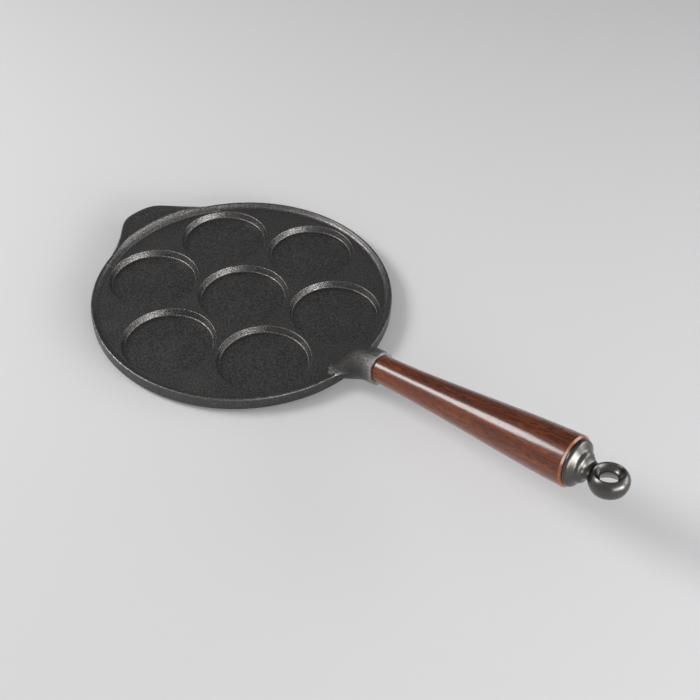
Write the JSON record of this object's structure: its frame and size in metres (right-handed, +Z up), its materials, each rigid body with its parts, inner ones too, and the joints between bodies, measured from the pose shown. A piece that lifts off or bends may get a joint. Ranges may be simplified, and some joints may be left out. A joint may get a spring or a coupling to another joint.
{
  "type": "blini pan",
  "caption": "Flat round cast iron pan with round wells for small pancakes, a helper grip, a turned wooden handle on a goose neck and a hanging eye.",
  "frame": {"origin": "centre of the flat underside of the round plate", "axes": "+Z up, +X from the plate's centre along the handle"},
  "size_m": [0.4702, 0.23, 0.0789],
  "materials": {
    "seasoned_iron": "seasoned, satin, fine cast grain",
    "hardwood": "reddish brown stain under clear varnish",
    "steel": "zinc plated",
    "polished_iron": "blackened and polished"
  },
  "bodies": {
    "root": {"pan_casting": "seasoned_iron", "wood_grip": "hardwood", "tie_rod": "steel", "eye_cap": "polished_iron"}
  },
  "joints": []
}
